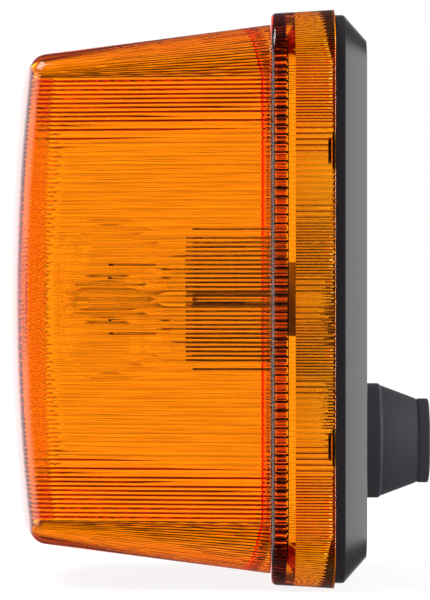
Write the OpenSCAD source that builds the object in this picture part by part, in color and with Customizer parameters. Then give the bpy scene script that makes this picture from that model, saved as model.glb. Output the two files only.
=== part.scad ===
// Vehicle indicator lamp: a deep amber lens snapped over a black base, with one bayonet bulb on its holder inside.
// Millimetres, +Z up, the front faces -Y. The origin is the middle of the flat back of the base, which bolts to the
// vehicle. Most pieces are drawn in a working frame where z is the distance in front of that back face and y is up.

/* [Lens body] */
// Distance from the mounting face to the top of the crowned front
lens_depth = 83.9; // [80:0.1:90]
// Half width of the middle of the body, where the rounded corners have their centres
body_core_w = 33.9; // [30:0.1:36]
// Half height of the middle of the body, where the rounded corners have their centres
body_core_h = 50.5; // [44:0.5:52]
// Corner radius of the body where it leaves the skirt
body_corner_r = 12.6; // [12:0.1:13.4]
// Draft of the four sides of the body, in degrees
body_draft = 7.5; // [6:0.1:8]
// Crown radius of the front seen from above
crown_w_r = 170; // [150:5:260]
// Crown radius of the front seen from the side
crown_h_r = 480; // [400:10:700]
// Rounding of the edge between the front and the sides
edge_r = 4.6; // [3:0.1:5]
// Wall of the sides, measured square to the depth at the bottom of a flute
side_wall = 2.5; // [2.3:0.1:2.8]
// Wall of the front at the bottom of a flute
front_wall = 1.9; // [1.7:0.1:2.6]
// Pitch of the flutes inside the sides and the front
flute_pitch = 2; // [1.8:0.1:2.4]
// Height of the round ribs between those flutes
flute_h = 0.28; // [0.2:0.02:0.5]
// Angle between the fanned flutes of a corner, in degrees
corner_flute_step = 9; // [9:1.5:15]

/* [Lens skirt] */
// Half width of the skirt at its rear edge
skirt_half_w = 50; // [49:0.5:52]
// Half height of the skirt at its rear edge
skirt_half_h = 66.3; // [66:0.1:68]
// Corner radius of the skirt at its rear edge
skirt_corner_r = 13; // [12.5:0.1:13.5]
// Distance from the mounting face to the rear edge of the skirt
skirt_z0 = 7.4; // [7.2:0.1:8]
// Distance from the mounting face to the shoulder of the skirt
skirt_z1 = 22; // [21:0.5:24]
// Draft of the skirt, in degrees
skirt_draft = 3.4; // [2:0.1:4]
// Rounding of the shoulder edge
shoulder_r = 1.5; // [1:0.1:2]
// Thickness of the shoulder between the body and the skirt
shoulder_t = 3.7; // [3.2:0.1:4.2]
// Wall of the skirt at the bottom of a flute
skirt_wall = 2.3; // [2:0.1:2.6]
// Pitch of the fine flutes inside the skirt
skirt_pitch = 1.333; // [1.3:0.001:1.6]
// Height of the ribs between the fine flutes
skirt_flute_h = 0.35; // [0.2:0.05:0.4]
// Length of the plain band between the shoulder and the fine flutes
plain_band = 2; // [1.5:0.1:3]

/* [Lens details] */
// Diameter of the ring optic inside the middle of the front
optic_d = 26.6; // [22:0.1:30]
// Number of steps in the ring optic
optic_rings = 5; // [3:1:6]
// Length of the four pry notches in the rear edge of the skirt
notch_len = 8.3; // [6:0.1:10]
// Depth of the pry notches
notch_depth = 0.7; // [0.5:0.1:1]
// Distance of the notches and snap tongues above and below the middle
notch_z = 33.5; // [28:0.5:38]
// Length of the snap tongues inside the skirt at each notch
catch_len = 5; // [4:0.5:7]
// Thickness of the snap tongues
catch_t = 1.2; // [1:0.1:1.3]
// Reach of the hook on each snap tongue
hook_t = 0.8; // [0.6:0.1:0.9]

/* [Mask ring] */
// Distance from the mounting face to the rear of the toothed ring in the mouth of the body
mask_z0 = 17.6; // [17.4:0.1:18]
// Distance from the mounting face to the tips of its teeth
mask_z1 = 20.7; // [20:0.1:21]
// Thickness of the toothed ring
mask_t = 1; // [0.8:0.1:1.2]
// Width of one tooth, with one tooth behind each flute
tooth_w = 0.8; // [0.6:0.1:1.1]

/* [Base] */
// Depth of the sloping edge round the back of the base
chamfer_z = 5.3; // [4.5:0.1:5.6]
// How far that sloping edge comes in towards the back
chamfer_in = 5.8; // [5:0.1:6.2]
// How far the rim of the base stays inside the rear edge of the skirt
rim_inset = 1.3; // [1:0.1:1.8]
// Thickness of the base floor
floor_t = 2.6; // [2.2:0.1:3]
// Height of the step that stiffens the corner between the floor and the rim
floor_step = 1.6; // [1.2:0.1:2]
// Thickness of the seal that lies in the rim under the rear edge of the skirt
seal_t = 1.2; // [1:0.1:1.4]
// Width of that seal
seal_w = 1.4; // [1.2:0.1:1.5]
// Depth of the round recess in the back that locates the grommet
collar_seat = 0.6; // [0.4:0.1:0.8]
// Diameter of the two fixing holes
fix_hole_d = 5.3; // [4.5:0.1:6.5]
// Distance between the two fixing holes, side to side
fix_spacing = 60; // [50:1:62]

/* [Cable grommet] */
// Height of the grommet above the lower edge of the skirt
grommet_up = 32.5; // [28:0.1:33.5]
// Diameter of the collar against the back of the base
collar_d = 27.4; // [24:0.1:29]
// Thickness of that collar
collar_t = 4.8; // [4:0.1:5.4]
// Diameter of the tail end of the grommet
tail_d = 20.1; // [16:0.1:22]
// Total length of the grommet behind the base
tail_len = 16.4; // [14:0.1:20]
// Diameter of the cable bore
cable_d = 7; // [5:0.1:8]
// Diameter of the hole in the base for the grommet
grommet_hole_d = 21; // [18:0.1:22]

/* [Bulb and holder] */
// Distance from the mounting face to the tip of the bulb glass
bulb_tip = 73.4; // [70:0.1:76]
// Diameter of the round glass
glass_d = 25; // [22:0.5:26.5]
// Diameter of the bulb cap
cap_d = 15; // [14.8:0.1:15.2]
// Distance from the mounting face to the centre contact of the bulb
bulb_foot = 21; // [20:0.1:22]
// Distance from the mounting face to the bayonet pins
pin_z = 28.6; // [28:0.1:29.5]
// Outside diameter of the holder sleeve
sleeve_d = 17.6; // [17.4:0.1:18.4]
// Distance from the mounting face to the mouth of the holder sleeve
sleeve_top = 40.4; // [38:0.1:41]
// Number of coils of the contact spring
spring_turns = 4; // [3:1:6]

/* [Hidden] */
// Clearance between pieces that slide or snap together
gap = 0.3;
// Working overlap that makes joined shapes of one piece run into each other
lap = 0.4;
draft_k = tan(body_draft);
skirt_k = tan(skirt_draft);
grommet_drop = skirt_half_h - grommet_up;
skirt_core_w = skirt_half_w - skirt_corner_r;
skirt_core_h = skirt_half_h - skirt_corner_r;
shoulder_back = skirt_z1 - shoulder_t;
skirt_in_r = skirt_corner_r - skirt_wall;
band_r = skirt_in_r - skirt_flute_h;
rim_z = skirt_z0 - 0.2;
rim_r = skirt_corner_r - rim_inset;
back_r = rim_r - chamfer_in;
seal_r = rim_r - 0.7;
seal_z = skirt_z0 - seal_t;
tongue_r = seal_r - seal_w - 0.7;
hook_r = tongue_r - catch_t - hook_t;
tray_r = hook_r - 0.5;
tongue_z = floor_t + floor_step;
body_open_r = body_corner_r - side_wall;
mask_r = body_r(mask_z1) - side_wall - flute_h - 0.1;
mask_rail = 0.6;
bracket_z = 6;
bracket_t = 1.2;
sleeve_z0 = bracket_z + bracket_t;
sleeve_bore = cap_d + 0.5;
terminal_x = 12.5;
terminal_y = -15.5;
strip_z = 3.4;
strip_t = 0.7;
rivet_x = 14;
glass_r = glass_d / 2;
neck_r = cap_d / 2 - 0.6;
neck_z0 = bulb_foot + 16.5;
neck_z1 = bulb_foot + 24.5;
throat_r = glass_r * cos(36);
glass_mid = bulb_tip - glass_r;
throat_z = glass_mid - glass_r * sin(36);
filament_z = pin_z + 31.8;
cap_top = 42;
cap_z0 = bulb_foot + 2.2;
plunger_head = 1.6;
insulator_t = 2.4;
spring_wire = 0.8;
$fn = 48;

// Working frame: z runs forward from the mounting face, y is up
module forward() rotate([90, 0, 0]) children();

module four_corners(cx, cy)
    for (sx = [-1, 1], sy = [-1, 1])
        translate([sx * cx, sy * cy, 0])
            children();

// A block with rounded corners whose edge follows a list of [radius, z] points
module rounded_block(cx, cy, edge) {
    first = edge[0];
    last = edge[len(edge) - 1];
    back = [for (i = [len(edge) - 1:-1:0]) edge[i]];
    four_corners(cx, cy)
        rotate_extrude()
            polygon(concat([[0, first[1]]], edge, [[0, last[1]]]));
    rotate([90, 0, 0])
        linear_extrude(2 * cy, center = true)
            polygon(concat([for (p = edge) [cx + p[0], p[1]]], [for (p = back) [-cx - p[0], p[1]]]));
    rotate([90, 0, 90])
        linear_extrude(2 * cx, center = true)
            polygon(concat([for (p = edge) [cy + p[0], p[1]]], [for (p = back) [-cy - p[0], p[1]]]));
}

// A flat plate outline with true round corners
module rounded_plate(cx, cy, r) {
    four_corners(cx, cy) circle(r);
    square([2 * (cx + r), 2 * cy], center = true);
    square([2 * cx, 2 * (cy + r)], center = true);
}

// Radius of the body corners at a distance in front of the mounting face
function body_r(z) = body_corner_r - (z - skirt_z1) * draft_k;
// Fall of a crown of radius cr at a distance u from its middle
function fall(cr, u) = cr - sqrt(cr * cr - u * u);
// Height of the round rib between two flutes, with f running from 0 to 1 over one pitch
function rib(f, h) = 4 * h * f * (1 - f);
// A quarter turn of flutes of radius r for a corner, whose two ends stay inside the flutes of the sides
function corner_fan(r) = let (s = corner_flute_step, low = r - rib(1 / 3, flute_h)) concat(
    [[low * cos(s / 6), -low * sin(s / 6)]],
    [for (a = [s / 2:s:90]) for (p = [[low, a - s / 3], [r, a], [low, a + s / 3]]) [p[0] * cos(p[1]), p[0] * sin(p[1])]],
    [[-low * sin(s / 6), low * cos(s / 6)], [-1.5, r - 1.5], [-4, -4], [r - 1.5, -1.5]]);
// Points of an arc
function arc(cx, cy, r, a0, a1, n) = [for (i = [0:n]) [cx + r * cos(a0 + (a1 - a0) * i / n),
                                                       cy + r * sin(a0 + (a1 - a0) * i / n)]];

// The edge rounding of the front seen from the side, as half of a turning profile round the vertical axis
module crown_profile() {
    wall_y = body_core_h + body_r(lens_depth - 6);
    cy = wall_y - edge_r + 0.12;
    cr = crown_w_r - fall(crown_h_r, cy) - edge_r;
    n = 12;
    top = [for (i = [0:n]) let (y = cy * i / n) [crown_w_r - fall(crown_h_r, y), y]];
    round_edge = [for (i = [1:5]) [cr + edge_r * cos(i * 15), cy + edge_r * sin(i * 15)]];
    out = [cr - 60, cy + edge_r + 16];
    half = concat(top, round_edge, [out]);
    low = [for (i = [len(half) - 1:-1:1]) [half[i][0], -half[i][1]]];
    polygon(concat([[0, -out[1]]], low, half, [[0, out[1]]]));
}

// The edge rounding at the two sides, as a profile turned round a level axis far behind the lamp
module side_profile() {
    wall_x = body_core_w + body_r(lens_depth - 8);
    cx = wall_x - edge_r + 0.12;
    lean = asin(cx / (crown_w_r - edge_r));
    cr = crown_h_r - crown_w_r + (crown_w_r - edge_r) * cos(lean) + 0.1;
    round_edge = [for (i = [0:5]) let (a = lean - 4 + i * (76 - lean + 4) / 5)
                      [cr + edge_r * cos(a), cx + edge_r * sin(a)]];
    start = [crown_h_r + 3, 0];
    out = [cr - 60, cx + edge_r + 16];
    half = concat([start], round_edge, [out]);
    low = [for (i = [len(half) - 1:-1:1]) [half[i][0], -half[i][1]]];
    polygon(concat([[0, -out[1]]], low, half, [[0, out[1]]]));
}

module lens_outside() {
    intersection() {
        rounded_block(body_core_w, body_core_h,
                      [[body_r(shoulder_back), shoulder_back], [body_r(lens_depth + 4), lens_depth + 4]]);
        translate([0, 0, lens_depth - crown_w_r])
            rotate([-90, 0, 0])
                rotate_extrude()
                    crown_profile();
        translate([0, 0, lens_depth - crown_h_r])
            rotate([0, 90, 0])
                rotate_extrude()
                    side_profile();
    }
    // Skirt with a drafted side and a rounded shoulder
    rounded_block(skirt_core_w, skirt_core_h,
                  concat([[skirt_corner_r, skirt_z0]],
                         arc(skirt_corner_r - (skirt_z1 - skirt_z0) * skirt_k - shoulder_r,
                             skirt_z1 - shoulder_r, shoulder_r, skirt_draft, 90, 4)));
}

// One fluted side of the hollow, as a slab whose outer edge carries the flutes; u is half its length
module fluted_side(u, reach) {
    n = side_flutes(u);
    p = 2 * u / n;
    seg = 3;
    top = [for (i = [0:n * seg]) [-u + i * p / seg, -rib((i % seg) / seg, flute_h)]];
    linear_extrude(reach)
        polygon(concat(top, [[u, -body_core_w + 4], [-u, -body_core_w + 4]]));
}

module lens_hollow() {
    z0 = shoulder_back - 1;
    wall = body_open_r - (z0 - skirt_z1) * draft_k;
    long = (lens_depth - z0 + 3) / cos(body_draft);
    intersection() {
        union() {
            translate([0, 0, lens_depth / 2 + z0])
                cube([2 * body_core_w - 20, 2 * body_core_h - 20, lens_depth], center = true);
            for (a = [0, 180]) {
                rotate([0, 0, a])
                    translate([0, body_core_h + wall, z0])
                        rotate([body_draft, 0, 0])
                            fluted_side(body_core_w, long);
                rotate([0, 0, a + 90])
                    translate([0, body_core_w + wall, z0])
                        rotate([body_draft, 0, 0])
                            fluted_side(body_core_h, long);
            }
            // Fanned flutes of the corners
            for (q = [0:3])
                translate([(q == 0 || q == 3 ? 1 : -1) * body_core_w, (q < 2 ? 1 : -1) * body_core_h, z0])
                    rotate([0, 0, 90 * q])
                        linear_extrude(lens_depth - z0, scale = 1 - (lens_depth - z0) * draft_k / wall)
                            polygon(corner_fan(wall));
        }
        translate([0, 0, lens_depth - crown_w_r])
            rotate([-90, 0, 0])
                rotate_extrude()
                    hollow_front();
    }
}

// Turning profile of the fluted inside of the front: the flutes run level from side to side
module hollow_front() {
    seg = 3;
    n = 2 * ceil((body_core_h + body_corner_r) / flute_pitch) + 2;
    h = n * flute_pitch / 2;
    side = [for (i = [0:n * seg]) let (y = -h + i * flute_pitch / seg)
                [crown_w_r - front_wall - fall(crown_h_r, y) - rib((i % seg) / seg, flute_h), y]];
    polygon(concat([[0, -h]], side, [[0, h]]));
}

// Outline of the fluted inside of the skirt, all round, as one list of points
function skirt_side(ax, ay, bx, by, nx, ny, n, seg) =
    [for (i = [0:n * seg - 1]) let (t = i / (n * seg), d = rib((i % seg) / seg, skirt_flute_h))
        [ax + (bx - ax) * t - nx * d, ay + (by - ay) * t - ny * d]];
function skirt_corner(cx, cy, a0, n, seg) =
    [for (i = [0:n * seg - 1]) let (a = a0 + 90 * i / (n * seg), r = skirt_in_r - rib((i % seg) / seg, skirt_flute_h))
        [cx + r * cos(a), cy + r * sin(a)]];

module skirt_hollow() {
    r = skirt_in_r;
    w = skirt_core_w;
    h = skirt_core_h;
    nw = round(2 * w / skirt_pitch);
    nh = round(2 * h / skirt_pitch);
    translate([0, 0, skirt_z0 - 1])
        linear_extrude(shoulder_back - plain_band - skirt_z0 + 1)
            polygon(concat(skirt_side(w + r, -h, w + r, h, 1, 0, nh, 3),
                           skirt_corner(w, h, 0, 16, 3),
                           skirt_side(w, h + r, -w, h + r, 0, 1, nw, 3),
                           skirt_corner(-w, h, 90, 16, 3),
                           skirt_side(-w - r, h, -w - r, -h, -1, 0, nh, 3),
                           skirt_corner(-w, -h, 180, 16, 3),
                           skirt_side(-w, -h - r, w, -h - r, 0, -1, nw, 3),
                           skirt_corner(w, -h, 270, 16, 3)));
    translate([0, 0, skirt_z0])
        linear_extrude(shoulder_back - skirt_z0)
            rounded_plate(w, h, band_r);
}

// Ring optic inside the middle of the front, a dome cut into steps
module ring_optic() {
    inner = lens_depth - front_wall;
    w = optic_d / 2 / optic_rings;
    teeth = [for (i = [0:optic_rings - 1]) for (s = [0, 1])
                 [(i + s) * w, inner - 1.5 + (s == 0 ? 0 : 0.9)]];
    rotate_extrude()
        polygon(concat([[0, inner - 1.5]], [for (i = [1:len(teeth) - 1]) teeth[i]], [[optic_d / 2, inner + 1],
                                                                                    [0, inner + 1]]));
}

module lens() color([1, 0.5, 0, 0.75]) forward() {
    difference() {
        lens_outside();
        lens_hollow();
        skirt_hollow();
        // Pry notches in the rear edge
        for (sx = [-1, 1], sy = [-1, 1])
            translate([sx * skirt_half_w, sy * notch_z, skirt_z0])
                cube([8, notch_len, 2 * notch_depth], center = true);
    }
    ring_optic();
    snap_tongues();
}

// Number of flutes along a side of half length u
function side_flutes(u) = 2 * floor(u / flute_pitch);

// Outline of one side of the toothed ring seen square on: a rail with one tooth behind each flute
function comb(u, n) = concat(
    [[u, mask_z0 + mask_rail], [u, mask_z0], [-u, mask_z0], [-u, mask_z0 + mask_rail]],
    [for (i = [0:n - 1]) let (y = u * (2 * i + 1 - n) / n, a = tooth_w / 2)
         for (q = [[y - a, mask_z0 + mask_rail], [y - a, mask_z1], [y + a, mask_z1], [y + a, mask_z0 + mask_rail]]) q]);

// Black ring in the mouth of the body
module mask_ring() color([0.1, 0.1, 0.11]) forward() {
    r = mask_r - mask_t;
    for (a = [0, 180]) {
        rotate([0, 0, a])
            translate([body_core_w + r, 0, 0])
                rotate([90, 0, 90]) linear_extrude(mask_t) polygon(comb(body_core_h, side_flutes(body_core_h)));
        rotate([0, 0, a + 90])
            translate([body_core_h + r, 0, 0])
                rotate([90, 0, 90]) linear_extrude(mask_t) polygon(comb(body_core_w, side_flutes(body_core_w)));
    }
    for (q = [0:3])
        translate([(q == 0 || q == 3 ? 1 : -1) * body_core_w, (q < 2 ? 1 : -1) * body_core_h, 0])
            rotate([0, 0, 90 * q]) {
                rotate_extrude(angle = 90)
                    translate([r, mask_z0]) square([mask_t, mask_rail]);
                for (a = [corner_flute_step / 2:corner_flute_step:90])
                    rotate([0, 0, a])
                        translate([r + 0.05, -tooth_w / 2, mask_z0 + 0.1])
                            cube([mask_t - 0.1, tooth_w, mask_z1 - mask_z0 - 0.1]);
            }
}

// Four places inside the skirt, one at each pry notch; there x runs outward from the core of the skirt
module at_tongues()
    for (a = [0, 180])
        rotate([0, 0, a])
            for (y = [-notch_z, notch_z])
                translate([skirt_core_w, y, 0])
                    children();

// Snap tongues: a bridge from the skirt wall, a leg down into the base and a hook that points inward
module snap_tongues()
    at_tongues() {
        translate([tongue_r - catch_t, -catch_len / 2, skirt_z0 + 1.2])
            cube([skirt_in_r + 0.2 - tongue_r + catch_t, catch_len, 1.6]);
        translate([tongue_r - catch_t, -catch_len / 2, tongue_z]) cube([catch_t, catch_len, skirt_z0 + 2 - tongue_z]);
        translate([hook_r, -catch_len / 2, tongue_z]) cube([hook_t + lap, catch_len, 1]);
    }

// Slots in the base for the tongues, each with a window under the ledge that the hook catches on
module tongue_slots()
    at_tongues() {
        translate([tongue_r - catch_t - gap, -catch_len / 2 - gap, tongue_z - gap])
            cube([catch_t + 2 * gap, catch_len + 2 * gap, skirt_z0]);
        translate([tray_r - 1, -catch_len / 2 - gap, tongue_z - gap])
            cube([hook_r - tray_r + 1 + hook_t + lap, catch_len + 2 * gap, 1 + 2 * gap]);
    }

module boss(d, z0, z1) translate([0, 0, z0]) cylinder(d = d, h = z1 - z0);

module base_housing() color([0.09, 0.09, 0.1]) forward() {
    hole = fix_spacing / 2;
    difference() {
        union() {
            difference() {
                rounded_block(skirt_core_w, skirt_core_h, [[back_r, 0], [rim_r, chamfer_z], [rim_r, rim_z]]);
                translate([0, 0, tongue_z])
                    linear_extrude(rim_z)
                        rounded_plate(skirt_core_w, skirt_core_h, tray_r);
                translate([0, 0, floor_t])
                    linear_extrude(rim_z)
                        rounded_plate(skirt_core_w, skirt_core_h, tray_r - floor_step);
                // Step in the rim for the seal
                translate([0, 0, seal_z])
                    linear_extrude(rim_z)
                        difference() {
                            rounded_plate(skirt_core_w, skirt_core_h, seal_r);
                            rounded_plate(skirt_core_w, skirt_core_h, seal_r - seal_w);
                        }
                tongue_slots();
            }
            // Bosses for the fixing screws, the bulb holder and the two terminals
            for (x = [-hole, hole])
                translate([x, 0, 0]) boss(fix_hole_d + 6, floor_t - lap, floor_t + 3);
            for (x = [-rivet_x, rivet_x])
                translate([x, 0, 0]) boss(8, floor_t - lap, bracket_z);
            for (x = [-terminal_x, terminal_x])
                translate([x, terminal_y, 0]) boss(7.5, floor_t - lap, bracket_z);
            // Rest under the contact strip
            translate([-3.5, -9, floor_t - lap])
                cube([7, 4, strip_z - floor_t + lap]);
            // Collar that stiffens the floor round the cable hole
            translate([0, -grommet_drop, floor_t - lap])
                difference() {
                    cylinder(d = grommet_hole_d + 9, h = 1.2 + lap);
                    translate([0, 0, -1]) cylinder(d = grommet_hole_d + 5, h = 4);
                }
        }
        for (x = [-hole, hole])
            translate([x, 0, -1]) cylinder(d = fix_hole_d, h = 12);
        for (x = [-rivet_x, rivet_x])
            translate([x, 0, 1.2]) cylinder(d = 3, h = 8);
        for (x = [-terminal_x, terminal_x])
            translate([x, terminal_y, 1.2]) cylinder(d = 3, h = 8);
        translate([0, -grommet_drop, -1]) cylinder(d = grommet_hole_d, h = floor_t + 2);
        translate([0, -grommet_drop, -1]) cylinder(d = collar_d + 2 * gap, h = 1 + collar_seat);
    }
}

// Flat rubber ring in the rim of the base, pressed by the rear edge of the skirt
module lens_seal() color([0.14, 0.14, 0.14]) forward()
    translate([0, 0, seal_z])
        linear_extrude(seal_t)
            difference() {
                rounded_plate(skirt_core_w, skirt_core_h, seal_r);
                rounded_plate(skirt_core_w, skirt_core_h, seal_r - seal_w);
            }

module cable_grommet() color([0.2, 0.19, 0.21]) forward()
    translate([0, -grommet_drop, 0])
        rotate_extrude()
            polygon(concat([[cable_d / 2, floor_t + 1.2], [cable_d / 2 + 1, floor_t + 2.2],
                            [grommet_hole_d / 2 + 0.9, floor_t + 2.2], [grommet_hole_d / 2 + 1.7, floor_t + 1.2],
                            [grommet_hole_d / 2 + 1.7, floor_t], [grommet_hole_d / 2, floor_t],
                            [grommet_hole_d / 2, collar_seat], [collar_d / 2, collar_seat]],
                           arc(collar_d / 2 - 0.6, -collar_t + 0.6, 0.6, 0, -60, 3),
                           [[collar_d / 2 - 0.55, -collar_t - 0.5], [tail_d / 2, -tail_len + 3.1],
                            [tail_d / 2 - 0.2, -tail_len + 2.8], [tail_d / 2, -tail_len + 2.5]],
                           arc(tail_d / 2 - 0.5, -tail_len + 0.5, 0.5, 0, -90, 3),
                           [[cable_d / 2 + 0.8, -tail_len], [cable_d / 2, -tail_len + 0.8]]));

// Sheet steel saddle with the earth ear, riveted to the base
module holder_bracket() color([0.72, 0.72, 0.74]) forward()
    translate([0, 0, bracket_z])
        linear_extrude(bracket_t)
            difference() {
                union() {
                    circle(11.4);
                    square([2 * rivet_x, 9], center = true);
                    translate([-rivet_x, 0]) circle(4.5);
                    translate([rivet_x, 0]) circle(4.5);
                    translate([-terminal_x - 4.5, terminal_y - 4.5]) square([9, 14]);
                }
                circle(4);
                translate([-rivet_x, 0]) circle(1.5);
                translate([rivet_x, 0]) circle(1.5);
                translate([-terminal_x, terminal_y]) circle(1.9);
            }

module holder_rivets() color([0.78, 0.78, 0.8]) forward()
    for (x = [-rivet_x, rivet_x])
        translate([x, 0, 0])
            rotate_extrude()
                polygon([[0, 1.6], [1.2, 1.6], [1.5, 2.2], [1.5, bracket_z + bracket_t], [2.7, bracket_z + bracket_t],
                         [2.5, bracket_z + bracket_t + 0.6], [1.7, bracket_z + bracket_t + 1.1],
                         [0, bracket_z + bracket_t + 1.3]]);

// Bayonet sleeve with two hooked slots and a foot flange
module socket_shell() color([0.75, 0.76, 0.78]) forward()
    difference() {
        rotate_extrude()
            polygon([[sleeve_bore / 2, sleeve_z0], [sleeve_d / 2 + 2, sleeve_z0], [sleeve_d / 2 + 2, sleeve_z0 + 0.9],
                     [sleeve_d / 2, sleeve_z0 + 0.9], [sleeve_d / 2, sleeve_top - 1],
                     [sleeve_d / 2 + 0.5, sleeve_top - 0.8], [sleeve_d / 2 + 0.5, sleeve_top],
                     [sleeve_bore / 2, sleeve_top]]);
        for (a = [0, 180])
            rotate([0, 0, a]) {
                rotate([0, 0, 30])
                    translate([5, -1.25, pin_z - 1.2])
                        cube([9, 2.5, 20]);
                translate([0, 0, pin_z - 1.3])
                    rotate_extrude(angle = 32)
                        translate([5.5, 0]) square([8, 2.5]);
                translate([5, -1.35, pin_z - 1.25])
                    cube([9, 2.5, 3]);
            }
    }

module socket_insulator() color([0.45, 0.28, 0.16]) forward()
    translate([0, 0, sleeve_z0])
        difference() {
            cylinder(d = sleeve_bore - 0.2, h = insulator_t);
            translate([0, 0, -1]) cylinder(d = 4.4, h = insulator_t + 2);
        }

module socket_contact() color([0.85, 0.66, 0.3]) forward() {
    foot = strip_z + strip_t;
    rotate_extrude()
        polygon([[0, foot], [1.6, foot], [2, foot + 0.5], [2, bulb_foot - plunger_head], [4.8, bulb_foot - plunger_head],
                 [4.8, bulb_foot - 0.5], [4.2, bulb_foot], [0, bulb_foot]]);
}

// A round wire wound as a helix: rings of points swept along it and closed at both ends
module coil(mean_r, wire_r, z0, z1, turns, steps, ring) {
    n = round(turns * steps);
    pts = [for (i = [0:n]) let (a = 360 * i / steps, z = z0 + (z1 - z0) * i / n)
               for (j = [0:ring - 1]) let (b = 360 * j / ring, r = mean_r + wire_r * cos(b))
                   [r * cos(a), r * sin(a), z + wire_r * sin(b)]];
    sides = [for (i = [0:n - 1]) for (j = [0:ring - 1]) let (k = (j + 1) % ring, a = i * ring, b = a + ring)
                 for (t = [[a + j, a + k, b + k], [a + j, b + k, b + j]]) t];
    polyhedron(points = pts,
               faces = concat(sides, [[for (j = [ring - 1:-1:0]) j]], [[for (j = [0:ring - 1]) n * ring + j]]));
}

module socket_spring() color([0.8, 0.8, 0.82]) forward()
    coil(3.6, spring_wire / 2, sleeve_z0 + insulator_t + spring_wire / 2 + 0.02,
         bulb_foot - plunger_head - spring_wire / 2 - 0.02, spring_turns, 24, 8);

// One brass strip: a pad with the screw hole, a step down and a tongue under the plunger
module supply_terminal() color([0.86, 0.68, 0.32]) forward() {
    edge = terminal_x - 4.5;
    difference() {
        translate([edge, terminal_y - 4.5, bracket_z]) cube([9, 9, strip_t]);
        translate([terminal_x, terminal_y, 0]) cylinder(d = 3.8, h = 20);
    }
    translate([edge - strip_t, terminal_y - 2.5, strip_z])
        cube([strip_t, 5, bracket_z - strip_z + strip_t]);
    translate([edge - strip_t, terminal_y - 2.5, bracket_z]) cube([strip_t + lap, 5, strip_t]);
    translate([0, 0, strip_z])
        linear_extrude(strip_t)
            polygon([[edge, terminal_y - 2.5], [edge, terminal_y + 2.5], [2.5, terminal_y + 2.5], [2.5, 2],
                     [1.5, 3], [-1.5, 3], [-2.5, 2], [-2.5, terminal_y - 1], [-1, terminal_y - 2.5]]);
}

function pad_z(x) = x < 0 ? bracket_z + bracket_t : bracket_z + strip_t;

// Square washers with a cupped edge that clamp the wires
module clamp_plates() color([0.82, 0.82, 0.84]) forward()
    for (x = [-terminal_x, terminal_x])
        translate([x, terminal_y, pad_z(x)])
            difference() {
                translate([-3.9, -3.9, 0]) cube([7.8, 7.8, 1]);
                translate([0, 0, -1]) cylinder(d = 3.8, h = 4);
            }

module terminal_screws() color([0.8, 0.8, 0.82]) forward()
    for (x = [-terminal_x, terminal_x])
        translate([x, terminal_y, 0])
            difference() {
                rotate_extrude()
                    polygon([[0, 1.6], [0.9, 1.6], [1.5, 2.6], [1.5, pad_z(x) + 1], [3.3, pad_z(x) + 1],
                             [3.3, pad_z(x) + 2.2], [2.6, pad_z(x) + 3], [0, pad_z(x) + 3.2]]);
                translate([-5, -0.45, pad_z(x) + 2]) cube([10, 0.9, 3]);
            }

module bulb_cap() color([0.86, 0.8, 0.62]) forward() {
    rotate_extrude()
        polygon([[5.6, cap_z0], [cap_d / 2 - 0.5, cap_z0], [cap_d / 2, cap_z0 + 0.5], [cap_d / 2, cap_top],
                 [cap_d / 2 - 0.45, cap_top], [cap_d / 2 - 0.45, cap_z0 + 0.6], [5.6, cap_z0 + 0.6]]);
    for (a = [0, 180])
        rotate([0, 0, a])
            translate([cap_d / 2 - 0.4, 0, pin_z])
                rotate([0, 90, 0])
                    cylinder(d = 2, h = 1.7);
}

// Glass insulation at the foot of the bulb
module bulb_insulator() color([0.12, 0.1, 0.16]) forward()
    rotate_extrude()
        polygon([[0, bulb_foot + 1.3], [3.4, bulb_foot + 1.3], [5.6, cap_z0], [5.6, cap_z0 + 0.6],
                 [cap_d / 2 - 0.45, cap_z0 + 0.6], [cap_d / 2 - 0.45, cap_z0 + 2], [5, cap_z0 + 3.2], [0, cap_z0 + 3.2]]);

module bulb_contact() color([0.7, 0.7, 0.72]) forward()
    rotate_extrude()
        polygon([[0, bulb_foot], [1.5, bulb_foot], [2.3, bulb_foot + 0.5], [2.6, bulb_foot + 1.3], [0, bulb_foot + 1.3]]);

// Outline of the glass from the neck to the tip, moved in by a wall w
function glass_edge(w) = concat(
    [[neck_r - w, neck_z0 + w], [neck_r - w, neck_z1]],
    [for (i = [1:5]) let (t = i / 6, u = (1 - cos(180 * t)) / 2)
        [neck_r - w + (throat_r - neck_r) * u * (0.6 + 0.4 * t), neck_z1 + (throat_z - neck_z1) * t]],
    arc(0, glass_mid, glass_r - w, -36, 90, 16));

module bulb_glass() color([0.9, 0.95, 1, 0.35]) forward() {
    out = glass_edge(0);
    inn = glass_edge(0.7);
    rotate_extrude()
        polygon(concat([[2.2, neck_z0]], out, [for (i = [len(inn) - 1:-1:0]) inn[i]], [[2.2, neck_z0 + 0.7]]));
}

// Glass stem that carries the two support wires
module bulb_mount() color([0.85, 0.9, 0.95, 0.6]) forward() {
    rotate_extrude()
        polygon([[0, 36.6], [2.2, 36.6], [2.2, 44.5], [1.5, 46.5], [1.5, 48], [0, 48]]);
    translate([-2.6, -0.9, 46]) cube([5.2, 1.8, 3.4]);
}

module wire(a, b, d) {
    v = b - a;
    l = norm(v);
    translate(a) rotate([0, acos(v[2] / l), atan2(v[1], v[0])]) cylinder(d = d, h = l);
}

module filament_supports() color([0.7, 0.7, 0.7]) forward()
    for (a = [0, 180])
        rotate([0, 0, a]) {
            translate([1.9, 0, 49.4]) cylinder(d = 0.6, h = 3.2);
            wire([1.87, 0, 52.3], [3.4, 0, filament_z + 0.5], 0.58);
        }

module bulb_filament() color([0.5, 0.5, 0.52]) forward()
    translate([-3, 0, filament_z])
        rotate([0, 90, 0])
            coil(0.5, 0.14, 0.1, 5.9, 9, 12, 6);

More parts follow.
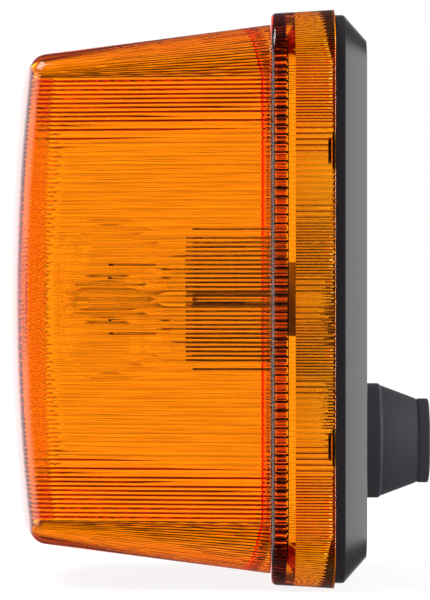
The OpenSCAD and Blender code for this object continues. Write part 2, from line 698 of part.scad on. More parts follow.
lens();
mask_ring();
base_housing();
lens_seal();
cable_grommet();
holder_bracket();
holder_rivets();
socket_shell();
socket_insulator();
socket_contact();
socket_spring();
supply_terminal();
clamp_plates();
terminal_screws();
bulb_cap();
bulb_insulator();
bulb_contact();
bulb_glass();
bulb_mount();
filament_supports();
bulb_filament();
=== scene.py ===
import math

import bmesh
import bpy
import numpy as np
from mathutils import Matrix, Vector


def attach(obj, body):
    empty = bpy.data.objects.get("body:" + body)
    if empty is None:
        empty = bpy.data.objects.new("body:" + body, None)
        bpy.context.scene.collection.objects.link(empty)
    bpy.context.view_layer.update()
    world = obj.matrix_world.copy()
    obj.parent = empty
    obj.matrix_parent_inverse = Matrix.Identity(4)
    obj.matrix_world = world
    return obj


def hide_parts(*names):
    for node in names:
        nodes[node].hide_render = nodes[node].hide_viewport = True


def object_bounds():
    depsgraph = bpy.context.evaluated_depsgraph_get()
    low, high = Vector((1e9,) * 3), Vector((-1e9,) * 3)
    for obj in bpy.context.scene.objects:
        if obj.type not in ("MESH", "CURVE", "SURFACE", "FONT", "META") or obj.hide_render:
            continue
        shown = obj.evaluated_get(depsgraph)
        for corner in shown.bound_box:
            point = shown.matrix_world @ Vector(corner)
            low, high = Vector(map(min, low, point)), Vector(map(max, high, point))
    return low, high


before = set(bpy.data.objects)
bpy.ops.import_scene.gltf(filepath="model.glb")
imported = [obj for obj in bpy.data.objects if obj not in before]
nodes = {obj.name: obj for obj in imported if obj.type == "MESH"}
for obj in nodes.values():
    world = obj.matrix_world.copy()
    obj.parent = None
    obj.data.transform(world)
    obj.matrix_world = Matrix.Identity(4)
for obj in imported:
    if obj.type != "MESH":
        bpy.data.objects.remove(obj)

cad_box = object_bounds()
scene = bpy.context.scene

# Sizes in millimetres, as in the part's source. Shapes are drawn in a working frame where z is the distance in front
# of the mounting face and y is up, and are turned into the row frame when the mesh is made.
DEPTH = 83.87                          # a hair under the source's, so that the crown stays inside its box
CORE_W, CORE_H = 33.9, 50.5            # corner centres of the body
CORNER_R = 12.6
DRAFT = math.radians(7.5)
CROWN_W, CROWN_H = 170.0, 480.0        # crown radii, seen from above and from the side
EDGE_R = 4.6                           # rounding between the sides and the crown
SIDE_WALL, FRONT_WALL, INNER_R = 2.5, 1.7, 3.0
PITCH, RIB = 2.0, 0.22                 # flutes of the body
SIDE_FLUTES, END_FLUTES, CORNER_FLUTES = 50, 32, 10
CORNER_RIB = 0.24                      # rib of a corner flute, as a share of its width, up to RIB
SEG = 8                                # samples in each flute
SKIRT_W, SKIRT_H, SKIRT_R = 37.0, 53.3, 13.0
SKIRT_Z0, SKIRT_Z1 = 7.4, 22.0
SKIRT_DRAFT = math.radians(3.4)
SHOULDER_R, SHOULDER_T, SHOULDER_FOOT = 1.5, 3.7, 0.2
SHOULDER_BACK = SKIRT_Z1 - SHOULDER_T
SKIRT_IN, SKIRT_CORE = 11.1, math.radians(6.5)
SKIRT_RIB, BAND = 0.20, 2.0            # ribs inside the skirt and the plain band in front of them
TONGUE_Y = 33.5                        # height of the snap tongues, of their slots and of the pry notches
TONGUE_HALF, SLOT_HALF, NOTCH_HALF = 2.5, 2.8, 4.15
OPTIC_R, OPTIC_RINGS, OPTIC_T = 13.3, 5, 1.5
GROMMET_Y = -33.8
TERMINAL_X, TERMINAL_Y = 12.5, -15.5
RIVET_X, FIXING_X = 14.0, 30.0
SCREW_HOLE_R, FIXING_HOLE_R = 1.5, 2.65
GLASS_R, GLASS_MID, GLASS_WALL, GLASS_ARC = 12.5, 60.9, 0.7, 36


# ---------------------------------------------------------------- mesh helpers
def to_row(points):
    p = np.asarray(points, dtype=float)
    return np.stack([p[:, 0], -p[:, 2], p[:, 1]], axis=1) * 0.001


def mesh_object(name, points, faces):
    me = bpy.data.meshes.new(name)
    me.from_pydata([tuple(p) for p in to_row(points)], [], faces)
    bm = bmesh.new()
    bm.from_mesh(me)
    bmesh.ops.recalc_face_normals(bm, faces=bm.faces)
    bm.to_mesh(me)
    bm.free()
    ob = bpy.data.objects.new(name, me)
    scene.collection.objects.link(ob)
    return ob


def stacked(name, rings):
    """A closed mesh from rings of equal length, joined in order, with a fan at each end."""
    n = len(rings[0])
    pts = np.concatenate(rings)
    faces = []
    for k in range(len(rings) - 1):
        a, b = k * n, (k + 1) * n
        faces += [(a + i, a + (i + 1) % n, b + (i + 1) % n, b + i) for i in range(n)]
    c = len(pts)
    last = (len(rings) - 1) * n
    pts = np.vstack([pts, rings[0].mean(axis=0), rings[-1].mean(axis=0)])
    faces += [(c, (i + 1) % n, i) for i in range(n)]
    faces += [(c + 1, last + i, last + (i + 1) % n) for i in range(n)]
    return mesh_object(name, pts, faces)


def lathe(name, prof, x=0.0, y=0.0, m=96):
    """A closed mesh from a profile of (radius, z) turned round a line square to the mounting face."""
    g = np.arange(m) * 2 * np.pi / m
    return stacked(name, [np.stack([x + r * np.cos(g), y + r * np.sin(g), np.full(m, z)], axis=1) for r, z in prof])


def arc(cr, cz, r, a0, a1, n):
    """Points (radius, z) on an arc between two angles in degrees."""
    return [(cr + r * math.cos(g), cz + r * math.sin(g)) for g in np.radians(np.linspace(a0, a1, n + 1))]


def box_object(name, lo, hi):
    c = [(x, y, z) for x in (lo[0], hi[0]) for y in (lo[1], hi[1]) for z in (lo[2], hi[2])]
    return mesh_object(name, c, [(0, 1, 3, 2), (4, 6, 7, 5), (0, 4, 5, 1), (2, 3, 7, 6), (0, 2, 6, 4), (1, 5, 7, 3)])


def combine(ob, other, how):
    """Join, cut or intersect ob with other, which is used up."""
    m = ob.modifiers.new("b", "BOOLEAN")
    m.operation = how
    m.solver = "MANIFOLD"
    m.object = other
    bpy.context.view_layer.update()
    me = bpy.data.meshes.new_from_object(ob.evaluated_get(bpy.context.evaluated_depsgraph_get()))
    ob.modifiers.clear()
    old = ob.data
    ob.data = me
    bpy.data.meshes.remove(old)
    gone = other.data
    bpy.data.objects.remove(other)
    bpy.data.meshes.remove(gone)


def smooth(ob, angle):
    ob.data.shade_smooth()
    ob.data.set_sharp_from_angle(angle=math.radians(angle))


def outline(side_h, side_w, corner):
    """Samples round a rounded rectangle: core position (a, b) in -1..1, outward normal, and a phase within a flute.
    side_h, side_w and corner are (flutes, samples in each flute)."""
    out = []
    for q in range(4):
        flutes, seg = side_h if q % 2 == 0 else side_w
        a0 = math.radians(90 * q)
        nx, ny = math.cos(a0), math.sin(a0)
        tx, ty = -ny, nx
        for i in range(flutes * seg):
            t = -1 + 2 * i / (flutes * seg)
            a = nx + tx * t
            b = ny + ty * t
            out.append((a, b, nx, ny, (i % seg) / seg, 0))
        flutes, seg = corner
        ca, cb = nx + tx, ny + ty
        for i in range(flutes * seg):
            g = a0 + math.pi / 2 * i / (flutes * seg)
            out.append((ca, cb, math.cos(g), math.sin(g), (i % seg) / seg, 1))
    return np.array(out)


def ring(o, cw, ch, r, z):
    """One row of points on the outline o, with corner centres at (cw, ch), a corner radius r and a height z."""
    r = np.broadcast_to(np.asarray(r, dtype=float), (len(o),))
    z = np.broadcast_to(np.asarray(z, dtype=float), (len(o),))
    return np.stack([o[:, 0] * cw + o[:, 2] * r, o[:, 1] * ch + o[:, 3] * r, z], axis=1)


def body_r(z):
    """Corner radius of the body's outside at a height z."""
    return CORNER_R - (z - SKIRT_Z1) * math.tan(DRAFT)


def wave(f, high):
    """A flute with two round ribs: 0 at both ends of the pitch and a shallower groove between the ribs."""
    return high * (0.40 * (1 - np.cos(4 * np.pi * f)) + 0.12 * (1 - np.cos(2 * np.pi * f)))


def fall(cr, u):
    """How far an arc of radius cr has dropped at u from its top."""
    return cr - np.sqrt(cr * cr - u * u)


def crown(x, y, less=0.0):
    """Height of the front, turned round the vertical axis, less a depth measured square to it."""
    rho = CROWN_W - less - fall(CROWN_H, y)
    return DEPTH - CROWN_W + np.sqrt(rho * rho - x * x)


def rounded_front(o, side, front, edge, steps, rings, ribs=0.0):
    """Rows over the rounded edge between the drafted sides and the crown, and on to the middle of the crown. The walls
    lie side and front inside the outer faces, and ribs is taken off the side as well."""
    # the height where the rounding starts depends on the radius there, and is found in steps
    zc = np.full(len(o), DEPTH - front - edge - 4.0)
    for _ in range(14):
        rc = body_r(zc) - side - ribs - edge / math.cos(DRAFT)
        x = o[:, 0] * CORE_W + o[:, 2] * rc
        y = o[:, 1] * CORE_H + o[:, 3] * rc
        near = 0.05
        slope = (crown(x + o[:, 2] * near, y + o[:, 3] * near, front) - crown(x, y, front)) / near
        zc = crown(x, y, front) - edge * np.sqrt(1 + slope ** 2)
    a1 = np.pi / 2 - np.arctan(-slope)
    rows = []
    for i in range(steps + 1):
        a = DRAFT + (a1 - DRAFT) * i / steps
        rows.append(ring(o, CORE_W, CORE_H, rc + edge * np.cos(a), zc + edge * np.sin(a)))
    last = rows[-1]
    for s in np.linspace(1, 0, rings)[1:-1]:
        x, y = last[:, 0] * s, last[:, 1] * s
        rows.append(np.stack([x, y, crown(x, y, front)], axis=1))
    return rows


# ---------------------------------------------------------------- lens
def lens_outside():
    """The outer faces: skirt, rounded shoulder, drafted body and crowned front."""
    o = outline((40, 1), (28, 1), (14, 1))
    bevel = 0.1
    rows = [ring(o, SKIRT_W, SKIRT_H, SKIRT_R - bevel, SKIRT_Z0), ring(o, SKIRT_W, SKIRT_H, SKIRT_R, SKIRT_Z0 + bevel)]
    top = SKIRT_Z1 - SHOULDER_R
    rt = SKIRT_R - (top - SKIRT_Z0) * math.tan(SKIRT_DRAFT)
    for i in range(9):
        a = SKIRT_DRAFT + (math.pi / 2 - SKIRT_DRAFT) * i / 8
        r = rt - SHOULDER_R + SHOULDER_R * math.cos(a)
        rows.append(ring(o, SKIRT_W, SKIRT_H, r, top + SHOULDER_R * math.sin(a)))
    foot = SHOULDER_FOOT
    rows.append(ring(o, CORE_W, CORE_H, CORNER_R + foot, SKIRT_Z1))
    for i in range(1, 5):
        a = math.pi / 2 * i / 4
        rows.append(ring(o, CORE_W, CORE_H, CORNER_R + foot - foot * math.sin(a), SKIRT_Z1 + foot - foot * math.cos(a)))
    rows += [ring(o, CORE_W, CORE_H, body_r(z), z) for z in (30, 40, 50, 60, 70)]
    rows += rounded_front(o, 0.0, 0.0, EDGE_R, 10, 26)
    return stacked("lens", rows)


def lens_hollow():
    """The hollow of the body: drafted fluted sides, met by a fluted sheet that follows the crown."""
    o = outline((SIDE_FLUTES, SEG), (END_FLUTES, SEG), (CORNER_FLUTES, SEG))
    z0 = SHOULDER_BACK - 1
    r0 = body_r(z0) - SIDE_WALL
    high = np.where(o[:, 5] > 0, np.minimum(RIB, CORNER_RIB * r0 * math.radians(90 / CORNER_FLUTES)), RIB)
    ribs = wave(o[:, 4], high)
    rows = [ring(o, CORE_W, CORE_H, r0 - ribs, z0)]
    rows += rounded_front(o, SIDE_WALL, FRONT_WALL - 0.2, INNER_R, 5, 4, ribs)
    side = stacked("hollow", rows)
    half_flutes, half_width, below = 33, 50, 5.0
    ys = np.arange(-half_flutes * SEG, half_flutes * SEG + 1) * PITCH / SEG
    ph = (np.arange(len(ys)) % SEG) / SEG
    xs = np.linspace(-half_width, half_width, 25)
    top = np.array([[x, y, crown(x, y, FRONT_WALL + wave(p, RIB))] for y, p in zip(ys, ph) for x in xs])
    m, k = len(ys), len(xs)
    # the fluted sheet is closed downwards into a block, which the drafted hollow is cut with
    low = top.copy()
    low[:, 2] = below
    faces = []
    idx = lambda i, j: i * k + j
    for i in range(m - 1):
        for j in range(k - 1):
            faces.append((idx(i, j), idx(i, j + 1), idx(i + 1, j + 1), idx(i + 1, j)))
    b = m * k
    rim = [idx(0, j) for j in range(k)] + [idx(i, k - 1) for i in range(1, m)] + \
          [idx(m - 1, j) for j in range(k - 2, -1, -1)] + [idx(i, 0) for i in range(m - 2, 0, -1)]
    pts = np.vstack([top, low[rim]])
    r = len(rim)
    faces += [(rim[i], b + i, b + (i + 1) % r, rim[(i + 1) % r]) for i in range(r)]
    c = len(pts)
    pts = np.vstack([pts, [[0, 0, below]]])
    faces += [(c, b + (i + 1) % r, b + i) for i in range(r)]
    front = mesh_object("front", pts, faces)
    combine(side, front, "INTERSECT")
    return side


def skirt_hollow():
    """The hollow of the skirt: its fluted length, and the plain band between that and the shoulder."""
    o = outline((80, SEG), (56, SEG), (16, SEG))
    r = lambda z: SKIRT_IN - (z - SKIRT_Z0) * math.tan(SKIRT_CORE) - wave(o[:, 4], SKIRT_RIB)
    fine = stacked("fine", [ring(o, SKIRT_W, SKIRT_H, r(z), z) for z in (SKIRT_Z0 - 1, SHOULDER_BACK - BAND)])
    o2 = outline((4, 1), (3, 1), (10, 1))
    r2 = SKIRT_IN - (SHOULDER_BACK - BAND - SKIRT_Z0) * math.tan(SKIRT_CORE) - SKIRT_RIB
    band = stacked("band", [ring(o2, SKIRT_W, SKIRT_H, r2, z) for z in (SKIRT_Z0 - 0.5, SHOULDER_BACK)])
    return fine, band


def ring_optic():
    """The round optic inside the middle of the front: rings that rise outwards and drop back in a step."""
    w = OPTIC_R / OPTIC_RINGS
    inner = DEPTH - FRONT_WALL
    prof = [(0.02, inner - OPTIC_T)]
    for i in range(OPTIC_RINGS):
        for s in range(1, 6):
            u = s / 5
            prof.append(((i + u) * w, inner - OPTIC_T + 0.9 * u ** 1.5))
        if i < OPTIC_RINGS - 1:
            prof.append(((i + 1) * w + 0.03, inner - OPTIC_T))
    prof += [(OPTIC_R, inner + 1), (0.02, inner + 1)]
    return lathe("optic", prof, m=120)


def side_box(side, r, y, half, z):
    """A box at one side of the skirt, from r[0] to r[1] outside its corner centres."""
    lo, hi = sorted(((SKIRT_W + r[0]) * side, (SKIRT_W + r[1]) * side))
    return box_object("box", (lo, y - half, z[0]), (hi, y + half, z[1]))


def make_lens():
    lens = lens_outside()
    combine(lens, lens_hollow(), "DIFFERENCE")
    for hollow in skirt_hollow():
        combine(lens, hollow, "DIFFERENCE")
    for side in (-1, 1):
        for y in (-TONGUE_Y, TONGUE_Y):
            notch = side_box(side, (9, 17), y, NOTCH_HALF, (SKIRT_Z0 - 0.7, SKIRT_Z0 + 0.7))
            combine(lens, notch, "DIFFERENCE")
            # bridge, leg and hook of a snap tongue
            for r, z in (((7.7, 11.15), (8.2, 9.0)), ((7.7, 8.9), (4.2, 8.6)), ((6.9, 8.1), (4.2, 5.2))):
                combine(lens, side_box(side, r, y, TONGUE_HALF, z), "UNION")
    combine(lens, ring_optic(), "UNION")
    smooth(lens, 28)
    return lens


# ---------------------------------------------------------------- materials
def new_material(name):
    mat = bpy.data.materials.new(name)
    mat.use_nodes = True
    nt = mat.node_tree
    bsdf = next(n for n in nt.nodes if n.type == "BSDF_PRINCIPLED")
    return mat, nt, bsdf


def grain(nt, bsdf, scale, rough, bump, distance=0.0001):
    """Noise in object space that varies the roughness between two values and gives a fine bump."""
    tc = nt.nodes.new("ShaderNodeTexCoord")
    noise = nt.nodes.new("ShaderNodeTexNoise")
    noise.inputs["Scale"].default_value = scale
    noise.inputs["Detail"].default_value = 3.0
    nt.links.new(tc.outputs["Object"], noise.inputs["Vector"])
    ramp = nt.nodes.new("ShaderNodeMapRange")
    ramp.inputs["To Min"].default_value = rough[0]
    ramp.inputs["To Max"].default_value = rough[1]
    nt.links.new(noise.outputs["Fac"], ramp.inputs["Value"])
    nt.links.new(ramp.outputs["Result"], bsdf.inputs["Roughness"])
    if bump:
        b = nt.nodes.new("ShaderNodeBump")
        b.inputs["Strength"].default_value = bump
        b.inputs["Distance"].default_value = distance
        nt.links.new(noise.outputs["Fac"], b.inputs["Height"])
        nt.links.new(b.outputs["Normal"], bsdf.inputs["Normal"])
    return tc


def colour_noise(nt, bsdf, tc, scale, a, b):
    noise = nt.nodes.new("ShaderNodeTexNoise")
    noise.inputs["Scale"].default_value = scale
    noise.inputs["Detail"].default_value = 4.0
    nt.links.new(tc.outputs["Object"], noise.inputs["Vector"])
    mix = nt.nodes.new("ShaderNodeMix")
    mix.data_type = "RGBA"
    mix.inputs["A"].default_value = (*a, 1)
    mix.inputs["B"].default_value = (*b, 1)
    nt.links.new(noise.outputs["Fac"], mix.inputs["Factor"])
    nt.links.new(mix.outputs["Result"], bsdf.inputs["Base Color"])


def amber():
    """Clear plastic whose colour comes from absorption on the way through, so that thick places are redder."""
    mat, nt, bsdf = new_material("amber_lens")
    bsdf.inputs["Transmission Weight"].default_value = 1.0
    bsdf.inputs["IOR"].default_value = 1.49
    tc = grain(nt, bsdf, 900, (0.0, 0.03), 0)
    colour_noise(nt, bsdf, tc, 60, (1.0, 0.93, 0.80), (1.0, 0.90, 0.76))
    vol = nt.nodes.new("ShaderNodeVolumeAbsorption")
    vol.inputs["Color"].default_value = (0.994, 0.80, 0.0, 1)
    vol.inputs["Density"].default_value = 1250.0
    out = next(n for n in nt.nodes if n.type == "OUTPUT_MATERIAL")
    nt.links.new(vol.outputs["Volume"], out.inputs["Volume"])
    return mat


def metal(name, colour, colour2, rough, bare=1.0):
    mat, nt, bsdf = new_material(name)
    bsdf.inputs["Metallic"].default_value = bare
    tc = grain(nt, bsdf, 400, rough, 0.05, 0.00005)
    colour_noise(nt, bsdf, tc, 120, colour, colour2)
    return mat


def plain(name, colour, colour2, rough, scale, bump, distance):
    mat, nt, bsdf = new_material(name)
    tc = grain(nt, bsdf, scale, rough, bump, distance)
    colour_noise(nt, bsdf, tc, 90, colour, colour2)
    return mat


def glass(name, colour, colour2):
    mat, nt, bsdf = new_material(name)
    bsdf.inputs["Transmission Weight"].default_value = 1.0
    bsdf.inputs["IOR"].default_value = 1.5
    tc = grain(nt, bsdf, 300, (0.0, 0.02), 0)
    colour_noise(nt, bsdf, tc, 80, colour, colour2)
    return mat


def assign(node, mat):
    ob = nodes[node]
    ob.data.materials.clear()
    ob.data.materials.append(mat)


# name, the two colours that the noise mixes, and the range of the roughness
METALS = {
    "holder_bracket": ("bright_steel", (0.60, 0.60, 0.61), (0.50, 0.50, 0.50), (0.25, 0.4)),
    "holder_rivets": ("rivet_steel", (0.66, 0.66, 0.67), (0.58, 0.58, 0.58), (0.25, 0.4)),
    "socket_contact": ("contact_brass", (0.75, 0.55, 0.26), (0.66, 0.46, 0.2), (0.25, 0.4)),
    "socket_spring": ("spring_steel", (0.55, 0.55, 0.57), (0.48, 0.48, 0.5), (0.2, 0.35)),
    "supply_terminal": ("strip_brass", (0.78, 0.57, 0.27), (0.68, 0.48, 0.22), (0.25, 0.4)),
    "clamp_plates": ("clamp_steel", (0.66, 0.65, 0.6), (0.58, 0.57, 0.52), (0.25, 0.4)),
    "terminal_screws": ("screw_steel", (0.68, 0.67, 0.63), (0.6, 0.59, 0.55), (0.25, 0.4)),
    "bulb_contact": ("solder", (0.5, 0.5, 0.5), (0.42, 0.42, 0.43), (0.35, 0.5)),
    "filament_supports": ("support_wire", (0.5, 0.5, 0.5), (0.42, 0.42, 0.42), (0.3, 0.45)),
    "bulb_filament": ("filament_wire", (0.3, 0.3, 0.31), (0.22, 0.22, 0.23), (0.4, 0.55)),
    # dulled by heat, so only partly bare metal
    "socket_shell": ("sleeve_steel", (0.82, 0.78, 0.72), (0.70, 0.66, 0.60), (0.5, 0.65), 0.35),
    "bulb_cap": ("cap_brass", (0.84, 0.76, 0.6), (0.72, 0.65, 0.5), (0.45, 0.6), 0.4),
}
# name, the two colours, the range of the roughness, then the scale, strength and depth of the grain
DULL = {
    "base_housing": ("black_housing", (0.022, 0.018, 0.022), (0.032, 0.027, 0.033), (0.30, 0.42), 2600, 0.08, 0.00004),
    "lens_seal": ("seal_rubber", (0.02, 0.02, 0.02), (0.03, 0.03, 0.03), (0.6, 0.8), 1500, 0.2, 0.00005),
    "mask_ring": ("mask_plastic", (0.05, 0.034, 0.028), (0.07, 0.048, 0.038), (0.35, 0.5), 1500, 0.1, 0.00004),
    "cable_grommet": ("grommet_rubber", (0.062, 0.057, 0.07), (0.085, 0.078, 0.096), (0.55, 0.75), 1800, 0.35, 0.00012),
    "socket_insulator": ("fibre", (0.22, 0.11, 0.05), (0.30, 0.16, 0.08), (0.6, 0.8), 900, 0.2, 0.00008),
    "bulb_insulator": ("cap_glass", (0.01, 0.008, 0.02), (0.02, 0.015, 0.035), (0.08, 0.2), 500, 0.05, 0.00005),
}
for part, values in METALS.items():
    assign(part, metal(*values))
for part, values in DULL.items():
    assign(part, plain(*values))
assign("bulb_glass", glass("clear_glass", (0.98, 0.99, 0.99), (0.95, 0.97, 0.97)))
assign("bulb_mount", glass("stem_glass", (0.95, 0.97, 0.97), (0.9, 0.94, 0.95)))


# ---------------------------------------------------------------- the other pieces
def ring_lathe(name, prof, x, y, m=96):
    """A closed ring mesh from a profile that doesn't reach the line it is turned round."""
    g = np.arange(m) * 2 * np.pi / m
    pts = np.concatenate([np.stack([x + r * np.cos(g), y + r * np.sin(g), np.full(m, z)], axis=1) for r, z in prof])
    k = len(prof)
    faces = [(a * m + i, a * m + (i + 1) % m, (a + 1) % k * m + (i + 1) % m, (a + 1) % k * m + i)
             for a in range(k) for i in range(m)]
    return mesh_object(name, pts, faces)


def make_base():
    o = outline((30, 1), (20, 1), (16, 1))
    # outline of the tray from the back face, round the rim and over the step of the seal into the tray
    rim, back, zc, zt, e = 11.7, 5.9, 5.3, 7.38, 0.12
    prof = [(back - 0.3, 0.0), (back, 0.08), (back + 0.2, 0.3), (rim - 0.25, zc - 0.28), (rim - 0.06, zc - 0.02),
            (rim, zc + 0.3), (rim, zt - e), (rim - e, zt), (11.0, zt), (11.0, 6.2), (9.6, 6.2),
            (9.6, zt), (6.45, zt), (6.4, zt - 0.1), (6.4, 4.2), (4.8, 4.2), (4.8, 2.6)]
    base = stacked("base", [ring(o, SKIRT_W, SKIRT_H, r, z) for r, z in prof])
    # bosses for the fixing screws, the rivets and the terminal screws: place, diameter and height
    sunk, bevel = 1.5, 0.15
    for x, y, d, z in ((FIXING_X, 0, 11.3, 5.6), (RIVET_X, 0, 8, 6), (TERMINAL_X, TERMINAL_Y, 7.5, 6)):
        boss = [(d / 2, sunk), (d / 2, z - bevel), (d / 2 - bevel, z)]
        for side in (1, -1):
            combine(base, lathe("boss", boss, x * side, y, 48), "UNION")
    combine(base, box_object("rest", (-3.5, -9, sunk), (3.5, -5, 3.4)), "UNION")
    combine(base, ring_lathe("collar", [(13, sunk), (15, sunk), (15, 3.8), (13, 3.8)], 0, GROMMET_Y), "UNION")
    # their holes: place, radius, where the hole starts, and samples round it
    for x, y, r, z, m in ((FIXING_X, 0, FIXING_HOLE_R, -1, 48), (RIVET_X, 0, SCREW_HOLE_R, 1.2, 32),
                          (TERMINAL_X, TERMINAL_Y, SCREW_HOLE_R, 1.2, 32)):
        for side in (-1, 1):
            combine(base, lathe("hole", [(r, z), (r, 9)], x * side, y, m), "DIFFERENCE")
    # the hole of the grommet, with a recess for its collar in the back
    combine(base, lathe("hole", [(14.0, -1), (14.0, 0.6), (10.5, 0.6), (10.5, 5)], 0, GROMMET_Y), "DIFFERENCE")
    for side in (-1, 1):
        for y in (-TONGUE_Y, TONGUE_Y):
            for r, z in (((7.4, 9.2), (3.9, 9.0)), ((5.4, 8.1), (3.9, 5.5))):
                combine(base, side_box(side, r, y, SLOT_HALF, z), "DIFFERENCE")
    smooth(base, 30)
    return base


def make_mask():
    """The toothed ring: a thin rail with one round-ended tooth behind each flute."""
    o = outline((4, 1), (3, 1), (12, 1))
    out, thick, seat, rail, tip = 9.87, 0.96, 17.62, 17.76, 20.62
    ob = stacked("mask", [ring(o, CORE_W, CORE_H, out, z) for z in (seat, rail)])
    combine(ob, stacked("in", [ring(o, CORE_W, CORE_H, out - thick, z) for z in (17, 19)]), "DIFFERENCE")
    pts, faces = [], []

    def tooth(cx, cy, nx, ny):
        half = 0.3
        prof = [(-half, rail - 0.1), (half, rail - 0.1), (half, tip - half)]
        prof += [(half * math.cos(a), tip - half + half * math.sin(a)) for a in np.linspace(0, math.pi, 7)[1:]]
        b, k = len(pts), len(prof)
        for d in (out - 0.93, out - 0.03):
            pts.extend((cx + nx * d - ny * u, cy + ny * d + nx * u, z) for u, z in prof)
        faces.append(tuple(b + i for i in range(k)))
        faces.append(tuple(b + k + i for i in range(k - 1, -1, -1)))
        faces.extend((b + i, b + k + i, b + k + (i + 1) % k, b + (i + 1) % k) for i in range(k))

    for s in (-1, 1):
        for i in range(SIDE_FLUTES):
            tooth(s * CORE_W, CORE_H * (2 * i + 1 - SIDE_FLUTES) / SIDE_FLUTES, s, 0)
        for i in range(END_FLUTES):
            tooth(CORE_W * (2 * i + 1 - END_FLUTES) / END_FLUTES, s * CORE_H, 0, s)
        for t in (-1, 1):
            for k in range(CORNER_FLUTES):
                g = math.radians(90 * (k + 0.5) / CORNER_FLUTES)
                tooth(s * CORE_W, t * CORE_H, s * math.cos(g), t * math.sin(g))
    combine(ob, mesh_object("teeth", pts, faces), "UNION")
    smooth(ob, 40)
    return ob


def make_grommet():
    """The sleeve: from its bore over the flange inside the base, through the wall, over the collar, down the taper."""
    prof = [(3.5, 3.8), (4.5, 4.8), (11.4, 4.8), (12.2, 3.8), (12.2, 2.6), (10.5, 2.6), (10.5, 0.6), (13.5, 0.6),
            (13.7, 0.4)]
    prof += arc(13.1, -4.2, 0.6, 0, -60, 5)
    prof += [(13.15, -5.1), (13.1, -5.3), (10.15, -13.15), (9.9, -13.45), (9.87, -13.6), (9.9, -13.75), (10.05, -13.9)]
    prof += arc(9.55, -15.9, 0.5, 0, -90, 5) + [(4.3, -16.4), (3.7, -16.1), (3.5, -15.7)]
    ob = ring_lathe("grommet", prof, 0, GROMMET_Y, 128)
    smooth(ob, 35)
    return ob


def glass_edge(w):
    """Profile of the glass from its foot over the neck to the tip, moved in by w."""
    half, z0 = 6.9, 45.5
    neck = half - w
    throat = GLASS_R * math.cos(math.radians(GLASS_ARC))
    z1 = GLASS_MID - GLASS_R * math.sin(math.radians(GLASS_ARC))
    prof = arc(neck - 1.2, 38.7 + w, 1.2, -90, 0, 5) + [(neck, z0)]
    for i in range(1, 12):
        t = i / 12
        u = (1 - math.cos(math.pi * t)) / 2
        prof.append((neck + (throat - half) * u * (0.6 + 0.4 * t), z0 + (z1 - z0) * t))
    return prof + arc(0, GLASS_MID, GLASS_R - w, -GLASS_ARC, 89.8, 26)


def make_bulb():
    foot = 37.5
    prof = [(2.2, foot)] + glass_edge(0) + glass_edge(GLASS_WALL)[::-1] + [(2.2, foot + GLASS_WALL)]
    ob = ring_lathe("bulb", prof, 0, 0, 96)
    smooth(ob, 50)
    return ob


def fitted(ob, node):
    """Let ob ride on the part's one body in place of a CAD node, in that node's material."""
    ob.data.materials.clear()
    ob.data.materials.append(nodes[node].data.materials[0])
    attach(ob, "root")
    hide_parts(node)


lens = make_lens()
lens.data.materials.clear()
lens.data.materials.append(amber())
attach(lens, "root")
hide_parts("lens")
fitted(make_base(), "base_housing")
fitted(make_grommet(), "cable_grommet")
fitted(make_bulb(), "bulb_glass")
fitted(make_mask(), "mask_ring")


# ---------------------------------------------------------------- stage
WHITE = (1, 1, 1, 1)


def feed(nt, socket, value):
    if isinstance(value, bpy.types.NodeSocket):
        nt.links.new(value, socket)
    else:
        socket.default_value = value


def math_node(nt, operation, *values):
    """A math node whose inputs are numbers or the sockets that feed them."""
    node = nt.nodes.new("ShaderNodeMath")
    node.operation = operation
    for socket, value in zip(node.inputs, values):
        feed(nt, socket, value)
    return node.outputs[0]


def fade(nt, value, start, end, low, high):
    """Goes smoothly from low, where value is at start, to high, where it is at end."""
    node = nt.nodes.new("ShaderNodeMapRange")
    node.interpolation_type = "SMOOTHSTEP"
    for name, number in (("From Min", start), ("From Max", end), ("To Min", low), ("To Max", high)):
        node.inputs[name].default_value = number
    nt.links.new(value, node.inputs["Value"])
    return node.outputs["Result"]


def mix_shader(nt, share, first, second):
    node = nt.nodes.new("ShaderNodeMixShader")
    nt.links.new(share, node.inputs["Fac"])
    nt.links.new(first, node.inputs[1])
    nt.links.new(second, node.inputs[2])
    return node.outputs["Shader"]


def lens_rays(nt, rays):
    """1 for a ray that comes off a gloss or out of the lens, or else 0."""
    return math_node(nt, "MAXIMUM", rays.outputs["Is Glossy Ray"], rays.outputs["Is Transmission Ray"])


def stage_floor():
    reach, edge, below = 60.0, 0.25, 0.0002
    z = cad_box[0][2] - below
    me = bpy.data.meshes.new("floor")
    me.from_pydata([(-reach, -reach, z), (edge, -reach, z), (edge, reach, z), (-reach, reach, z)], [], [(0, 1, 2, 3)])
    ob = bpy.data.objects.new("floor", me)
    scene.collection.objects.link(ob)
    mat, nt, bsdf = new_material("floor_white")
    bsdf.inputs["Base Color"].default_value = (0.82, 0.82, 0.82, 1)
    bsdf.inputs["Roughness"].default_value = 0.9
    bsdf.inputs["Specular IOR Level"].default_value = 0.0
    rays = nt.nodes.new("ShaderNodeLightPath")
    # To the camera the floor glows in part, so that it is as white as the background and keeps a soft shadow
    glow = nt.nodes.new("ShaderNodeEmission")
    glow.inputs["Color"].default_value = WHITE
    glow.inputs["Strength"].default_value = 1.22
    share = math_node(nt, "MULTIPLY", rays.outputs["Is Camera Ray"], 0.72)
    lit = mix_shader(nt, share, bsdf.outputs["BSDF"], glow.outputs["Emission"])
    # Rays that come out of the lens or off a gloss pass through the floor to the studio
    clear = nt.nodes.new("ShaderNodeBsdfTransparent")
    out = next(n for n in nt.nodes if n.type == "OUTPUT_MATERIAL")
    nt.links.new(mix_shader(nt, lens_rays(nt, rays), lit, clear.outputs["BSDF"]), out.inputs["Surface"])
    me.materials.append(mat)


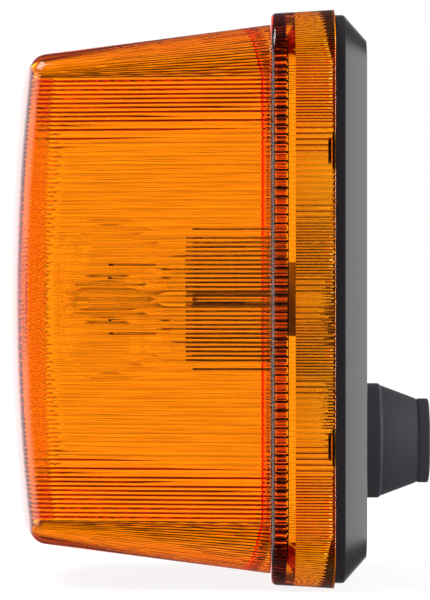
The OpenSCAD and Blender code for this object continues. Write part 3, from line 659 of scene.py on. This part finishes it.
def background(nt, strength):
    node = nt.nodes.new("ShaderNodeBackground")
    node.inputs["Color"].default_value = WHITE
    feed(nt, node.inputs["Strength"], strength)
    return node.outputs[0]


def world_light():
    world = bpy.data.worlds.new("studio")
    scene.world = world
    world.use_nodes = True
    nt = world.node_tree
    nt.nodes.clear()
    rays = nt.nodes.new("ShaderNodeLightPath")
    coords = nt.nodes.new("ShaderNodeTexCoord")
    toward = nt.nodes.new("ShaderNodeSeparateXYZ")
    nt.links.new(coords.outputs["Generated"], toward.inputs[0])
    x, y, z = (toward.outputs[axis] for axis in "XYZ")
    # Seen in gloss or through the lens, the studio is white behind the lamp and dark on the +X side,
    away = fade(nt, math_node(nt, "MULTIPLY_ADD", y, 0.15, x), 0.2, 0.7, 1.42, 0.06)
    # brighter in front of the lens, where the main softbox stands,
    front = fade(nt, y, -0.15, -0.9, 1.0, 1.8)
    # and dim high above and far below, so that the flutes show their lines
    level = fade(nt, math_node(nt, "ABSOLUTE", z), 0.12, 0.5, 1.15, 0.1)
    strength = math_node(nt, "MULTIPLY", math_node(nt, "MULTIPLY", away, front), level)
    light = mix_shader(nt, lens_rays(nt, rays), background(nt, 0.55), background(nt, strength))
    seen = mix_shader(nt, rays.outputs["Is Camera Ray"], light, background(nt, 1.0))
    out = nt.nodes.new("ShaderNodeOutputWorld")
    nt.links.new(seen, out.inputs["Surface"])


def area(name, place, target, size, energy, colour=(1.0, 1.0, 1.0)):
    d = bpy.data.lights.new(name, "AREA")
    d.shape = "RECTANGLE"
    d.size, d.size_y = size
    d.energy = energy
    d.color = colour
    ob = bpy.data.objects.new(name, d)
    scene.collection.objects.link(ob)
    ob.location = place
    ob.rotation_euler = (Vector(target) - Vector(place)).to_track_quat("-Z", "Y").to_euler()


stage_floor()
world_light()
area("key", (0.25, -0.7, 0.9), (0, -0.03, 0), (0.6, 0.6), 9)
area("side", (-0.05, 1.0, 0.1), (0.03, 0, 0), (0.5, 0.9), 5.6, (1.0, 0.95, 1.0))

# ---------------------------------------------------------------- camera
cam_data = bpy.data.cameras.new("camera")
cam = bpy.data.objects.new("camera", cam_data)
scene.collection.objects.link(cam)
cam_data.sensor_fit = "VERTICAL"
cam_data.sensor_height = 36.0
cam_data.sensor_width = 36.0
# 788 mm off the nearest side of the skirt, where each of the photo's 600 rows shows 0.2252 mm
distance, rows, row_mm = 788.0, 600, 0.2252
cam_data.lens = 36.0 * distance / (rows * row_mm)
cam_data.clip_start = 0.01
cam.location = (0.838, -0.0346, -0.0002)
cam.rotation_euler = (math.radians(90), 0, math.radians(90))
scene.camera = cam
scene.view_settings.view_transform = "Standard"
# Light is often reflected inside the flutes many times before it gets out
scene.cycles.max_bounces = 40
scene.cycles.glossy_bounces = 24
scene.cycles.transmission_bounces = 40
